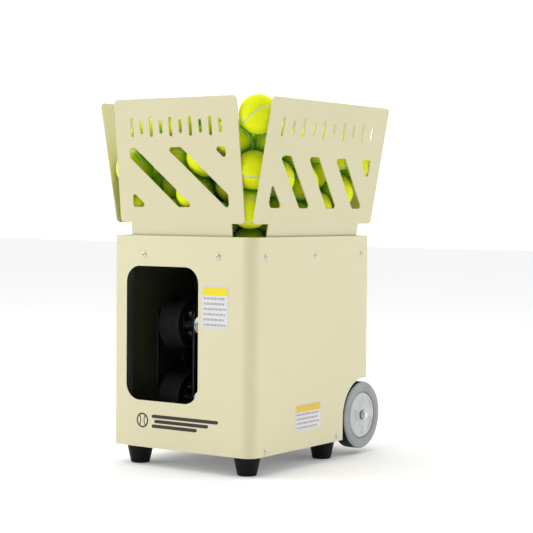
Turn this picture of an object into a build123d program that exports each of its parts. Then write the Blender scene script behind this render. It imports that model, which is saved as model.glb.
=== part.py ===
from build123d import *
import math
import os
import numpy as np

# Tennis ball machine: a sheet metal cabinet on four feet and two transport wheels, a plug-in
# ball hopper of four tilted plates, a carousel feeder and a swivelling two-wheel throwing head.
# Millimetres. +X is the machine's right-hand side seen from the front, -Y is the front, +Z is up.
# The origin is on the floor, at the centre of the four feet.

# ---------------------------------------------------------------- driving dimensions
body_w = 295.0            # cabinet width, X
body_d = 365.0            # cabinet depth, Y
body_h = 370.0            # cabinet height, Z
foot_h = 33.0             # cabinet bottom above the floor
sheet = 1.5               # cabinet sheet thickness
bend_r = 22.0             # outside radius of the two large cabinet bends
corner_gap = 0.5          # slit between the two cabinet wraps
shadow_gap = 0.3          # gap kept between curved faces that only pass each other
run_gap = 0.05            # radial clearance of running fits

window_w, window_h, window_r = 158.0, 235.0, 29.0
window_x, window_bottom = -45.0, 82.0         # window centre, and its sill above the cabinet bottom

foot_inset = 31.0         # foot centre from the cabinet faces
foot_top_r, foot_low_r = 23.5, 16.5

wheel_r, wheel_w = 61.5, 29.0
wheel_y = body_d / 2 - 11.0                   # axle position
wheel_z = foot_h + 38.5
arch_gap = 7.5            # wheel arch beyond the tyre
wheel_side_gap = 3.5      # between wheel and wheel well
axle_r = 6.0
hub_r = 14.0

panel_t = 2.0             # hopper plate thickness
side_tilt, front_tilt = 10.5, 6.5             # outward lean of the hopper plates, degrees
side_panel_w, side_centre, side_neck_w, side_neck_centre = 374.0, 4.5, 287.0, 5.5
front_panel_w, front_panel_top_w, front_centre = 268.0, 263.0, -4.5
front_neck_w, front_neck_centre = 217.0, -6.5
shoulder_s, panel_top_s = 22.5, 236.5         # shoulder and top edge, measured up the plate
plug_depth = 48.0         # how deep the plate's neck sits in its socket
panel_corner_r = 8.0
socket_t = 18.0           # width of the side sockets; the front and rear ones are 4 mm narrower
rim_inset = 4.0           # outer face of a plate inside the cabinet face, at the rim
plug_play = 0.3           # play of a neck in its socket, each side
hatch_low, hatch_high = 50.0, 152.5           # front hatch field, measured up the plate
side_hatch_low, side_hatch_high = 50.0, 140.0
mark_low, mark_high = 171.0, 205.0            # row of upright slots above the hatch

deck_top = foot_h + 319.0                     # floor of the ball hopper
deck_t = 2.0
well_r, well_depth = 126.0, 48.0
rotor_gap = 3.0
pocket_r, pocket_pitch, pockets = 37.0, 82.0, 5
ball_r = 33.5
ball_shell = 3.5
ball_count = 88

head_x = -60.0            # plane of the ball's flight
yaw_y = -body_d / 2 + 125.0                   # oscillation axis
nip_z = 180.0             # height of the elevation axis and of the ball's line
nip_ahead = 40.0          # throwing wheels in front of the elevation axis
throw_half_gap = 66.0     # throwing wheel axis above or below the ball's line
throw_r, throw_groove, throw_w = 47.0, 4.0, 44.0
cheek_t, cheek_half = 3.0, 39.0               # side plates of the head, inner face from head_x
motor_r, motor_len = 28.0, 64.0
shaft_r = 4.0
trunnion_r = 5.0
gear_module, gear_teeth, pinion_teeth = 1.5, 60, 18
gear_t = 6.0
tooth_play = 0.16         # thinning of every tooth
drop_y = 5.0              # the hole that a ball drops through

handle_x, handle_y = 85.0, body_d / 2 + 45.5  # pull handle tubes
outer_tube_r, middle_tube_r, inner_rod_r = 11.0, 8.8, 6.8

control_w, control_h, control_z = 130.0, 90.0, 240.0
screw_r, screw_head_r, screw_head_h = 2.0, 4.4, 2.2

floor_z = foot_h
top_z = foot_h + body_h
half_w, half_d = body_w / 2, body_d / 2
inner_w, inner_d = half_w - sheet, half_d - sheet
gear_centres = gear_module * (gear_teeth + pinion_teeth) / 2
rotor_x = head_x + pocket_pitch * math.cos(math.radians(34))
rotor_y = drop_y + pocket_pitch * math.sin(math.radians(34))
well_floor = deck_top - well_depth

os.makedirs("parts", exist_ok=True)


# ---------------------------------------------------------------- small helpers
def block(x, y, z):
    """A box from three (low, high) pairs."""
    low, high = (x[0], y[0], z[0]), (x[1], y[1], z[1])
    size = [b - a for a, b in zip(low, high)]
    centre = [(a + b) / 2 for a, b in zip(low, high)]
    return Pos(*centre) * Box(*size)


def rod(axis, at, radius, start, end):
    """A cylinder along X, Y or Z; at is its place in the other two directions."""
    turn = {"X": Rot(0, 90, 0), "Y": Rot(-90, 0, 0), "Z": Rot(0, 0, 0)}[axis]
    mid = (start + end) / 2
    place = {"X": (mid, at[0], at[1]), "Y": (at[0], mid, at[1]), "Z": (at[0], at[1], mid)}[axis]
    return Pos(*place) * turn * Cylinder(radius, end - start)


def ring(axis, at, outer, inner, start, end):
    """A tube, or a washer."""
    return rod(axis, at, outer, start, end) - rod(axis, at, inner, start - 1, end + 1)


def along_x(face, start, end):
    """Extrude a sketch drawn in (Y, Z) from x = start to x = end."""
    return extrude(Plane(origin=(start, 0, 0), x_dir=(0, 1, 0), z_dir=(1, 0, 0)) * face, end - start)


def along_y(face, start, end):
    """Extrude a sketch drawn in (X, Z) from y = start to y = end."""
    plane = Plane(origin=(0, end, 0), x_dir=(1, 0, 0), z_dir=(0, -1, 0))
    return extrude(plane * face, end - start)


def along_z(face, start, end):
    """Extrude a sketch drawn in (X, Y) from z = start to z = end."""
    return extrude(Pos(0, 0, start) * face, end - start)


def rounded(x, y, radius):
    """A rounded rectangle from two (low, high) pairs."""
    return Pos((x[0] + x[1]) / 2, (y[0] + y[1]) / 2) * RectangleRounded(x[1] - x[0], y[1] - y[0], radius)


def save(node, *pieces):
    """Write one sub-part, as one solid or as a group of separate solids."""
    solids = [solid for piece in pieces for solid in piece.solids()]
    export_step(solids[0] if len(solids) == 1 else Compound(solids), f"parts/{node}.step")


def gear_face(teeth, turn=0.0):
    """An involute spur gear, with one tooth centred on angle turn (degrees)."""
    pressure = math.radians(20)
    pitch = gear_module * teeth / 2
    base, tip, root = pitch * math.cos(pressure), pitch + gear_module, pitch - 1.25 * gear_module
    half = math.pi / (2 * teeth) - tooth_play / (2 * pitch)
    start = max(base, root)
    flank = []
    for step in range(5):
        radius = start + (tip - start) * step / 4
        angle = math.acos(min(1.0, base / radius))
        flank.append((radius, half + math.tan(pressure) - pressure - math.tan(angle) + angle))
    points = []
    for tooth in range(teeth):
        centre = math.radians(turn) + 2 * math.pi * tooth / teeth
        outline = [(root, -flank[0][1])] + [(r, -a) for r, a in flank]
        outline += [(r, a) for r, a in reversed(flank)] + [(root, flank[0][1])]
        for radius, angle in outline:
            point = (radius * math.cos(centre + angle), radius * math.sin(centre + angle))
            if not points or math.dist(points[-1], point) > 1e-6:
                points.append(point)
    return make_face(Polyline(*points, close=True))


def pan_screw(axis, at, face, out):
    """A pan head screw; face is the surface it sits on and out is the way its head points."""
    head = rod(axis, at, screw_head_r, *sorted((face, face + out * screw_head_h)))
    rims = head.edges().filter_by(GeomType.CIRCLE).sort_by({"X": Axis.X, "Y": Axis.Y, "Z": Axis.Z}[axis])
    head = fillet(rims[-1 if out > 0 else 0], screw_head_h * 0.6)
    drive = rod(axis, at, 1.6, *sorted((face + out * 1.0, face + out * 4)))
    return (head - drive) + rod(axis, at, screw_r, *sorted((face, face - out * 7.5)))


def screw_hole(axis, at, face, out):
    return rod(axis, at, screw_r + 0.15, *sorted((face + out, face - out * 8.0)))


# ---------------------------------------------------------------- cabinet
front_screws = [(-85.0, floor_z + 337.0), (75.0, floor_z + 337.0)]
side_screws = [(-144.0, floor_z + 337.0), (7.5, floor_z + 337.0), (162.0, floor_z + 337.0)]
base_screws = [(-140.5, floor_z + 9.0), (84.0, floor_z + 9.0)]
rear_screws = [(-85.0, floor_z + 337.0), (75.0, floor_z + 337.0), (-85.0, floor_z + 9.0),
               (85.0, floor_z + 9.0)]


def arch_cut(side, depth, radius):
    """The space that a transport wheel takes out of the cabinet's rear corner."""
    low = block((0, 1), (wheel_y - radius, half_d + 60), (floor_z - 5, wheel_z))
    shape = rod("X", (wheel_y, wheel_z), radius, 0, 1) + low + block(
        (0, 1), (wheel_y, half_d + 60), (floor_z, wheel_z + math.sqrt(radius ** 2 - (half_d - wheel_y) ** 2)))
    face = shape.faces().sort_by(Axis.X)[-1]
    start = side * (half_w - depth)
    return extrude(Pos(start - 1, 0, 0) * face, depth + 5, dir=(side, 0, 0))


def wrap(corner_cut):
    """Half of the cabinet: a front wall and a right wall joined by one large bend."""
    outer = Rectangle(body_w, body_d)
    outer = fillet(outer.vertices().sort_by(Axis.Y)[:2].sort_by(Axis.X)[-1], bend_r)
    inner = Rectangle(body_w - 2 * sheet, body_d - 2 * sheet)
    inner = fillet(inner.vertices().sort_by(Axis.Y)[:2].sort_by(Axis.X)[-1], bend_r - sheet)
    shell = along_z(outer - inner, floor_z, top_z)
    tall = (floor_z - 1, top_z + 1)
    shell -= block((-half_w - 1, -inner_w), (-inner_d, half_d + 1), tall)
    shell -= block((-half_w - 1, inner_w), (inner_d, half_d + 1), tall)
    if corner_cut:
        shell -= block((-half_w - 1, -inner_w + corner_gap), (-half_d - 1, -inner_d), tall)
        shell -= block((inner_w - 1, half_w + 1), (inner_d - corner_gap, half_d + 1), tall)
    return shell


front_right = wrap(False)
window = rounded((window_x - window_w / 2, window_x + window_w / 2),
                 (floor_z + window_bottom, floor_z + window_bottom + window_h), window_r)
front_right -= along_y(window, -half_d - 1, -inner_d + 1)
front_right -= arch_cut(1, 45, wheel_r + arch_gap)
for at in front_screws:
    front_right -= screw_hole("Y", at, -half_d, -1)
for at in side_screws + base_screws:
    front_right -= screw_hole("X", at, half_w, 1)
save("front_right_wrap", front_right)

rear_left = Rot(0, 0, 180) * wrap(True)
rear_left -= arch_cut(1, 45, wheel_r + arch_gap) + arch_cut(-1, 45, wheel_r + arch_gap)
for at in side_screws + base_screws:
    rear_left -= screw_hole("X", at, -half_w, -1)
for at in rear_screws:
    rear_left -= screw_hole("Y", at, half_d, 1)
control_hole = (control_w / 2 - 5, control_h / 2 - 5)
rear_left -= block((-control_hole[0], control_hole[0]), (inner_d - 1, half_d + 1),
                   (control_z - control_hole[1], control_z + control_hole[1]))
for row in range(6):
    vent = Pos(0, 100 + 11 * row) * SlotOverall(90, 4)
    rear_left -= along_y(vent, inner_d - 1, half_d + 1)
save("rear_left_wrap", rear_left)

# base tray: a folded floor with upturned flanges, cut round both wheel wells
tray_t, flange_h = 2.0, 18.0
tray_outer = RectangleRounded(2 * inner_w, 2 * inner_d, bend_r)
tray_inner = RectangleRounded(2 * (inner_w - tray_t), 2 * (inner_d - tray_t), bend_r - tray_t)
cavity = along_z(tray_outer, floor_z, top_z)                 # the room inside the cabinet
base = along_z(tray_outer, floor_z, floor_z + flange_h) - along_z(tray_inner, floor_z + tray_t, floor_z + 50)
well_in = half_w - wheel_w - wheel_side_gap - sheet          # inner face of a wheel well
well_gap = arch_gap + 2.0                                    # wheel well beyond the tyre
for side in (1, -1):
    notch = sorted((side * (well_in - 0.5), side * (half_w + 5)))
    base -= block(notch, (wheel_y - wheel_r - well_gap - sheet, half_d + 5), (floor_z - 5, floor_z + 60))
    for at in base_screws:
        base -= screw_hole("X", at, side * half_w, side)
for at in rear_screws[2:]:
    base -= screw_hole("Y", at, half_d, 1)
rear_foot_y = 81.0        # the rear feet stand in front of the transport wheels
foot_x, front_foot_y = half_w - foot_inset, -half_d + foot_inset
feet, foot_screws = [], []
for at in [(x, y) for x in (-foot_x, foot_x) for y in (front_foot_y, rear_foot_y)]:
    foot = Pos(at[0], at[1], foot_h / 2) * Cone(foot_low_r, foot_top_r, foot_h)
    foot = fillet(foot.edges().filter_by(GeomType.CIRCLE).sort_by(Axis.Z)[0], 2.5)
    foot -= rod("Z", at, 8.0, -1, 16) + rod("Z", at, 2.7, 0, foot_h + 1)
    feet.append(foot)
    base -= rod("Z", at, 2.7, floor_z - 1, floor_z + tray_t + 1)
    foot_screws.append(rod("Z", at, 5.0, 12.5, 16) + rod("Z", at, 2.5, 16, floor_z + tray_t + 6))
    foot_screws.append(ring("Z", at, 5.0, 2.5, floor_z + tray_t, floor_z + tray_t + 4))
save("base_tray", base)
save("rubber_feet", *feet)
save("foot_screws", *foot_screws)

# wheel wells close the cabinet round the transport wheels
wells = []
for side in (1, -1):
    wide = sorted((side * well_in, side * inner_w))
    cheek = sorted((side * well_in, side * (well_in + sheet)))
    front = wheel_y - wheel_r - well_gap
    arch = rod("X", (wheel_y, wheel_z), wheel_r + well_gap + sheet, *wide)
    arch += block(wide, (front - sheet, inner_d), (floor_z, wheel_z))
    hollow = rod("X", (wheel_y, wheel_z), wheel_r + well_gap, -half_w, half_w)
    hollow += block((-half_w, half_w), (front, half_d), (floor_z - 1, wheel_z))
    wall = arch & block(cheek, (0, half_d + 99), (floor_z, top_z))
    well = ((arch - hollow) + wall) & cavity
    well -= rod("X", (wheel_y, wheel_z), axle_r + 2, -half_w, half_w)
    wells.append(well)
save("wheel_wells", *wells)

# four corner posts carry the hopper deck
post = 20.0
hanger_top = wheel_z + 14.0                                  # the rear posts stand on the axle hangers
post_places = [(-inner_w, -inner_d), (half_w - bend_r - post - 1, -inner_d),
               (-well_in + 2, inner_d - post), (well_in - 2 - post, inner_d - post)]
posts = []
for x, y in post_places:
    low = floor_z + flange_h if y < 0 else hanger_top
    solid = block((x, x + post), (y, y + post), (low, deck_top - deck_t))
    hollow = block((x + 2, x + post - 2), (y + 2, y + post - 2), (0, top_z))
    posts.append(solid - hollow)
save("corner_posts", *posts)

# ---------------------------------------------------------------- hopper deck, sockets and plates
deck = along_z(tray_outer, deck_top - deck_t, deck_top)
well_at = (rotor_x, rotor_y)
deck += rod("Z", well_at, well_r + deck_t, well_floor - deck_t, deck_top)
deck -= rod("Z", well_at, well_r, well_floor, deck_top + 1)
deck -= rod("Z", (head_x, drop_y), pocket_r + 1, well_floor - 9, well_floor + 1)
deck -= rod("Z", well_at, shaft_r + 5, well_floor - 9, well_floor + 1)
save("hopper_deck", deck)


def wall_plane(side):
    """The outer face of one hopper plate: x runs along the plate, y runs up its slope."""
    tilt = math.radians(side_tilt if side in ("left", "right") else front_tilt)
    lean, rise = math.sin(tilt), math.cos(tilt)
    x, y = half_w - rim_inset, half_d - rim_inset
    origin, across, out = {
        "right": ((x, 0, top_z), (0, 1, 0), (rise, 0, -lean)),
        "left": ((-x, 0, top_z), (0, -1, 0), (-rise, 0, -lean)),
        "front": ((0, -y, top_z), (1, 0, 0), (0, -rise, -lean)),
        "rear": ((0, y, top_z), (-1, 0, 0), (0, rise, -lean)),
    }[side]
    return Plane(origin=origin, x_dir=across, z_dir=out)


def hatch(field, slope, pitch, first, width):
    """Slanting slots clipped to a rectangle with rounded corners."""
    (x0, x1), (y0, y1) = field
    frame = Pos((x0 + x1) / 2, (y0 + y1) / 2) * Rectangle(x1 - x0, y1 - y0)
    faces = []
    for index in range(-1, 5):
        low = first + index * pitch
        strip = Polygon((low - slope * y0, y0), (low + width - slope * y0, y0),
                        (low + width - slope * y1, y1), (low - slope * y1, y1), align=None)
        for face in (strip & frame).faces():
            if face.area > 300:
                faces.append(offset(offset(face, -4.5), 4.5, kind=Kind.ARC))
    return faces


def plate_outline(low_w, high_w, centre, neck_w, neck_centre):
    flap = Polygon((centre - low_w / 2, shoulder_s), (centre + low_w / 2, shoulder_s),
                   (centre + high_w / 2, panel_top_s), (centre - high_w / 2, panel_top_s), align=None)
    flap = fillet(flap.vertices(), panel_corner_r)
    neck = Pos(neck_centre, (shoulder_s + 5 - plug_depth) / 2) * Rectangle(neck_w, shoulder_s + 5 + plug_depth)
    return flap + neck


def marks(centre, width, count):
    """A plain row of upright slots."""
    step = width / (count - 1)
    tall, mid = mark_high - mark_low, (mark_high + mark_low) / 2
    return [Pos(centre - width / 2 + step * n, mid) * Rot(0, 0, 90) * SlotOverall(tall - 10 * (n % 2), 7)
            for n in range(count)]


front_face = plate_outline(front_panel_w, front_panel_top_w, front_centre, front_neck_w, front_neck_centre)
front_field = ((front_centre - 103.2, front_centre + 103.2), (hatch_low, hatch_high))
for cut in hatch(front_field, 1.17, 100.0, -50.0, 33.0) + marks(front_centre, 190.0, 10):
    front_face -= cut
side_face = plate_outline(side_panel_w, side_panel_w, side_centre, side_neck_w, side_neck_centre)
side_field = ((side_centre - 151.5, side_centre + 151.5), (side_hatch_low, side_hatch_high))
for cut in hatch(side_field, 0.915, 86.0, -8.0, 33.5) + marks(side_centre - 3, 286.0, 10):
    side_face -= cut
side_faces = {"right": side_face, "left": mirror(side_face, Plane.YZ),
              "front": front_face, "rear": mirror(front_face, Plane.YZ)}
neck_of = {"right": (side_neck_w, side_neck_centre), "left": (side_neck_w, -side_neck_centre),
           "front": (front_neck_w, front_neck_centre), "rear": (front_neck_w, -front_neck_centre)}
socket_end = 12.0
sockets = []
for side, face in side_faces.items():
    plane = wall_plane(side)
    save(f"{side}_hopper_plate", extrude(plane * face, -panel_t))
    width, centre = neck_of[side]
    slot = Pos(centre, -plug_depth / 2 + 5) * Rectangle(width + 2 * plug_play, plug_depth + 10)
    slot = extrude(plane.offset(plug_play) * slot, -(panel_t + 2 * plug_play))
    ends = (centre - width / 2 - socket_end, centre + width / 2 + socket_end)
    if side in ("right", "left"):
        flip = 1 if side == "right" else -1
        span = sorted((flip * ends[0], flip * ends[1]))
        bar = block(sorted((flip * inner_w, flip * (inner_w - socket_t))), span, (deck_top, top_z - 1))
        for at in side_screws:
            bar -= screw_hole("X", at, flip * half_w, flip)
    else:
        flip = -1 if side == "front" else 1
        span = sorted((-flip * ends[0], -flip * ends[1]))
        bar = block(span, sorted((flip * inner_d, flip * (inner_d - socket_t + 4))), (deck_top, top_z - 1))
        for at in (front_screws if side == "front" else rear_screws[:2]):
            bar -= screw_hole("Y", at, flip * half_d, flip)
    sockets.append((bar - slot) & cavity)
save("plate_sockets", *sockets)

screws = [pan_screw("Y", at, -half_d, -1) for at in front_screws]
screws += [pan_screw("Y", at, half_d, 1) for at in rear_screws]
for side in (1, -1):
    screws += [pan_screw("X", at, side * half_w, side) for at in side_screws + base_screws]
save("cabinet_screws", *screws)

# ---------------------------------------------------------------- ball feeder
rotor_low, rotor_high = well_floor + 3.0, deck_top - 4.0
rotor = rod("Z", well_at, well_r - rotor_gap, rotor_low, rotor_high)
first = math.atan2(drop_y - rotor_y, head_x - rotor_x)
for n in range(pockets):
    angle = first + 2 * math.pi * n / pockets
    x, y = rotor_x + pocket_pitch * math.cos(angle), rotor_y + pocket_pitch * math.sin(angle)
    rotor -= rod("Z", (x, y), pocket_r, rotor_low - 1, rotor_high + 1)
    mouth = Pos(pocket_pitch + 25, 0, (rotor_low + rotor_high) / 2) * Box(50, 2 * pocket_r - 14, 99)
    rotor -= Pos(rotor_x, rotor_y, 0) * Rot(0, 0, math.degrees(angle)) * mouth
rotor -= rod("Z", well_at, shaft_r, rotor_low - 1, rotor_high + 1)
save("feed_rotor", rotor, rod("Z", well_at, shaft_r, well_floor - 20, rotor_high))
gearbox_low, feed_motor_low = well_floor - deck_t - 40, well_floor - deck_t - 95
gearbox = rod("Z", well_at, 26, gearbox_low, well_floor - deck_t)
gearbox -= rod("Z", well_at, shaft_r + run_gap, well_floor - 20 - run_gap, well_floor)
can = rod("Z", well_at, 18.5, feed_motor_low, gearbox_low)
can = fillet(can.edges().filter_by(GeomType.CIRCLE).sort_by(Axis.Z)[0], 3)
save("feed_motor", gearbox, can)

tube_low = nip_z + throw_half_gap + 25.0        # above the swing of the head and its tie rod
drop = ring("Z", (head_x, drop_y), pocket_r + 1.5, pocket_r - 0.5, tube_low, well_floor - deck_t)
flange_z = (well_floor - deck_t - 3, well_floor - deck_t)
drop += ring("Z", (head_x, drop_y), pocket_r + 9, pocket_r - 0.5, *flange_z)
save("drop_tube", drop)


# ---------------------------------------------------------------- balls in the hopper
def settle_balls():
    """Drop the balls into the hopper and relax them until none overlaps; returns their centres."""
    rng = np.random.default_rng(7)
    r = ball_r + 0.1
    side, front = math.radians(side_tilt), math.radians(front_tilt)
    plate_x, plate_y = half_w - rim_inset, half_d - rim_inset
    walls = [((-math.cos(side), 0, math.sin(side)), (plate_x, 0, top_z)),
             ((math.cos(side), 0, math.sin(side)), (-plate_x, 0, top_z)),
             ((0, math.cos(front), math.sin(front)), (0, -plate_y, top_z)),
             ((0, -math.cos(front), math.sin(front)), (0, plate_y, top_z))]
    rims = (inner_w - socket_t, inner_d - socket_t + 4)
    spots, level = [], deck_top + ball_r + 5
    while len(spots) < ball_count:
        columns = 3 if level < top_z + 17 else 4
        across, along = np.linspace(-90, 90, columns), np.linspace(-125, 125, columns + 1)
        spots += [(x, y, level) for x in across for y in along]
        level += 2 * ball_r
    balls = np.array(spots[:ball_count]) + rng.uniform(-4, 4, (ball_count, 3))
    fall, falling, relaxing = np.array((0.15, -0.25, -1.2)), 700, 400
    for step in range(falling + relaxing):
        balls += fall * np.clip((falling - step) / (0.4 * falling), 0, 1)
        for _ in range(4):
            apart = balls[:, None] - balls[None]
            distance = np.sqrt((apart ** 2).sum(2)) + np.eye(ball_count) * 1e3
            overlap = np.clip(2 * r - distance, 0, None)
            balls += 0.35 * (overlap[:, :, None] * apart / distance[:, :, None]).sum(1)
            for normal, foot in walls:
                depth = (r + panel_t) - (balls - np.array(foot)) @ np.array(normal)
                balls += np.clip(depth, 0, None)[:, None] * np.array(normal)
            for axis, rim in enumerate(rims):
                beyond = np.abs(balls[:, axis]) - (rim - r)
                sign, above = np.sign(balls[:, axis]), balls[:, 2] - top_z
                aside = rim - np.abs(balls[:, axis])
                reach = np.hypot(aside, above) + 1e-9
                over = (above >= 0) & (beyond > 0) & (reach < r)
                lift = np.where(over, (r - reach) / reach, 0)
                balls[:, axis] -= sign * aside * lift
                balls[:, 2] += above * lift
                balls[:, axis] -= np.where((above < 0) & (beyond > 0), sign * beyond, 0)
            balls[:, 2] = np.maximum(balls[:, 2], deck_top + r + 0.2)
    return balls


centres = settle_balls()
spread = np.sqrt(((centres[:, None] - centres[None]) ** 2).sum(2)) + np.eye(len(centres)) * 1e3
print("balls", len(centres), "closest pair", round(float(spread.min()), 3))
one_ball = Sphere(ball_r) - Sphere(ball_r - ball_shell)
save("tennis_balls", *[Pos(*map(float, centre)) * one_ball for centre in centres])

# ---------------------------------------------------------------- transport wheels and axle
wheel_at = (wheel_y, wheel_z)
axle_end = half_w + 1.5
axle = rod("X", wheel_at, axle_r, -axle_end, axle_end)
nuts, hangers = [], []
for side, name in ((1, "right"), (-1, "left")):
    face, back = side * half_w, side * (half_w - wheel_w)
    rim_r = wheel_r * 0.965
    tread = ring("X", wheel_at, wheel_r, wheel_r - 9, *sorted((face - side * 3.5, back)))
    tread = fillet(tread.edges().filter_by(GeomType.CIRCLE).group_by(SortBy.RADIUS)[-1], 2.4)
    save(f"{name}_wheel_tread", tread)
    rim_x, ridge_x = sorted((face - side * 3.5, back + side * 2)), sorted((face + side * 0.8, face - side * 10))
    disc = ring("X", wheel_at, wheel_r - 9 - 0.02, wheel_r - 13, *rim_x)
    disc += ring("X", wheel_at, rim_r, wheel_r * 0.72, *sorted((face, face - side * 3.5)))
    disc += ring("X", wheel_at, wheel_r - 12, hub_r - 1, *sorted((face - side * 12, face - side * 9)))
    disc += ring("X", wheel_at, wheel_r * 0.72 + 1.5, wheel_r * 0.72 - 1.5, *ridge_x)
    disc += ring("X", wheel_at, hub_r, axle_r + run_gap, *sorted((face - side * 4, back - side * 1)))
    cover_x = sorted((face - side * 1.0, face - side * 3.4))
    cover = ring("X", wheel_at, wheel_r * 0.72 - 2.2, axle_r + 2, *cover_x)
    cover += ring("X", wheel_at, hub_r - 2, axle_r + 2, *sorted((face - side * 1.0, face - side * 4)))
    for n in range(5):
        angle = math.radians(90 + 72 * n)
        at = (wheel_y + 29 * math.cos(angle), wheel_z + 29 * math.sin(angle))
        cover -= rod("X", at, 8.5, *sorted((face, face - side * 2.2)))
        cover += ring("X", at, 3.0, 1.0, *sorted((face - side * 3.4, face - side * 9)))
    save(f"{name}_wheel_rim", disc, cover)
    nut = Plane.YZ * RegularPolygon(8.0, 6)
    nut = Pos(face + side * 0.6, wheel_y, wheel_z) * extrude(nut, side * 5)
    nut -= rod("X", wheel_at, axle_r, *sorted((face - side, side * axle_end)))
    nut += rod("X", wheel_at, 5.6, *sorted((face + side * 5.6, face + side * 8)))
    nuts.append(nut)
    hanger_x = sorted((side * (well_in - 2 - post), side * (well_in - 2)))
    hanger = block(hanger_x, (wheel_y - 18, inner_d), (floor_z + tray_t, hanger_top))
    hanger -= rod("X", wheel_at, axle_r, -half_w, half_w)
    hanger -= block((-half_w, half_w), (inner_d - tray_t, half_d), (floor_z, floor_z + flange_h))
    hangers.append(hanger)
save("wheel_axle", axle, *nuts)
save("axle_hangers", *hangers)

# ---------------------------------------------------------------- turntable and its drive
yaw_at = (head_x, yaw_y)
tray_top = floor_z + tray_t
gear_low = tray_top + 6.0
gear_high = gear_low + gear_t
spindle_r = 8.0
spindle = rod("Z", yaw_at, 30, tray_top, gear_low - shadow_gap)
spindle += rod("Z", yaw_at, spindle_r, tray_top, gear_high + 5.5)
spindle_cap = rod("Z", yaw_at, 14, gear_high + 5.5, gear_high + 8.5)
save("turntable_spindle", spindle, spindle_cap)
table = along_z(Pos(*yaw_at) * gear_face(gear_teeth, 90), gear_low, gear_high)
table -= rod("Z", yaw_at, spindle_r + run_gap, 0, 99)
save("turntable_gear", table)
cradle_left, cradle_right = head_x - 54.0, head_x + 122.0
cradle_t = 3.0
plate_y = (yaw_y - 28, yaw_y + 28)
cradle = block((cradle_left, cradle_right + cradle_t), plate_y, (gear_high, gear_high + cradle_t))
cradle -= rod("Z", yaw_at, spindle_r + 1.0, 0, 99)
arm_low = gear_high + 1
left_arm = Polygon((yaw_y - 28, arm_low), (yaw_y + 28, arm_low), (yaw_y + 16, nip_z), (yaw_y - 16, nip_z),
                   align=None)
left_arm += Pos(yaw_y, nip_z) * Circle(16)
cradle += along_x(left_arm, cradle_left, cradle_left + cradle_t)
elevation_y = yaw_y + gear_centres
right_arm = Polygon((yaw_y - 28, arm_low), (yaw_y + 28, arm_low), (elevation_y + 20, nip_z - 26),
                    (elevation_y + 20, nip_z + 20), (yaw_y - 16, nip_z + 20), (yaw_y - 16, nip_z), align=None)
cradle += along_x(fillet(right_arm.vertices().sort_by(Axis.Y)[-2:], 8), cradle_right, cradle_right + cradle_t)
elevation_at = (elevation_y, nip_z)
nip_at = (yaw_y, nip_z)
cradle -= rod("X", nip_at, trunnion_r + run_gap, cradle_left - 1, cradle_right + 9)
cradle -= rod("X", elevation_at, 3.0 + run_gap, cradle_right - 1, cradle_right + 9)
save("head_cradle", cradle)

osc_at = (head_x, yaw_y + gear_centres)
osc_pinion = along_z(Pos(*osc_at) * gear_face(pinion_teeth, -90 + 180 / pinion_teeth), gear_low, gear_high)
osc_pinion += rod("Z", osc_at, 3.0, gear_low, gear_high + 12)
save("oscillation_pinion", osc_pinion)
bracket_z = (gear_high + 1.5, gear_high + 4.0)
bracket_y = (osc_at[1] - 17, osc_at[1] + 21)
osc_bracket = block((head_x - 24, head_x + 24), bracket_y, bracket_z)
osc_bracket += block((head_x - 24, head_x + 24), (bracket_y[1] - 2.5, bracket_y[1]), (tray_top, bracket_z[1]))
toe_y = (bracket_y[1] - 2.5, bracket_y[1] + 10)
osc_bracket += block((head_x - 24, head_x + 24), toe_y, (tray_top, tray_top + 2.5))
osc_bracket -= rod("Z", osc_at, 5, 0, 99)
save("oscillation_bracket", osc_bracket)
osc_motor = rod("Z", osc_at, 18.5, bracket_z[1], bracket_z[1] + 42)
osc_motor = fillet(osc_motor.edges().filter_by(GeomType.CIRCLE).sort_by(Axis.Z)[-1], 3)
osc_motor -= rod("Z", osc_at, 3.0 + run_gap, 0, gear_high + 13)
save("oscillation_motor", osc_motor)

# ---------------------------------------------------------------- throwing head
motor_start = head_x + cheek_half + cheek_t
wheel_line = yaw_y - nip_ahead
upper_at, lower_at = (wheel_line, nip_z + throw_half_gap), (wheel_line, nip_z - throw_half_gap)
cheek_y, cheek_z = (wheel_line - 27.5, yaw_y + 22.5), (nip_z - 92, nip_z + 92)
bearing_r = 11.0
rod_places = [(yaw_y + 15.5, nip_z + 85), (yaw_y + 15.5, nip_z - 85)]
plates = []
for side in (-1, 1):
    span = sorted((head_x + side * cheek_half, head_x + side * (cheek_half + cheek_t)))
    plate = along_x(rounded(cheek_y, cheek_z, 12), *span)
    for at in (upper_at, lower_at):
        plate -= rod("X", at, bearing_r, -half_w, half_w)
    plate -= rod("X", nip_at, trunnion_r, -half_w, half_w)
    for at in rod_places:
        plate -= rod("X", at, 2.2, -half_w, half_w)
    plates.append(plate)
ties = []
for at in rod_places:
    ties.append(rod("X", at, 5, head_x - cheek_half, head_x + cheek_half))
    for side in (-1, 1):
        ties.append(pan_screw("X", at, head_x + side * (cheek_half + cheek_t), side) -
                    rod("X", at, 9, head_x - cheek_half, head_x + cheek_half))
save("head_side_plates", *plates, *ties)
bearings = []
for at in (upper_at, lower_at):
    for span in ((head_x - cheek_half - cheek_t, head_x - cheek_half + 3), (head_x + cheek_half - 3, motor_start)):
        bearings.append(ring("X", at, bearing_r, shaft_r + run_gap, *span))
save("shaft_bearings", *bearings)

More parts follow.
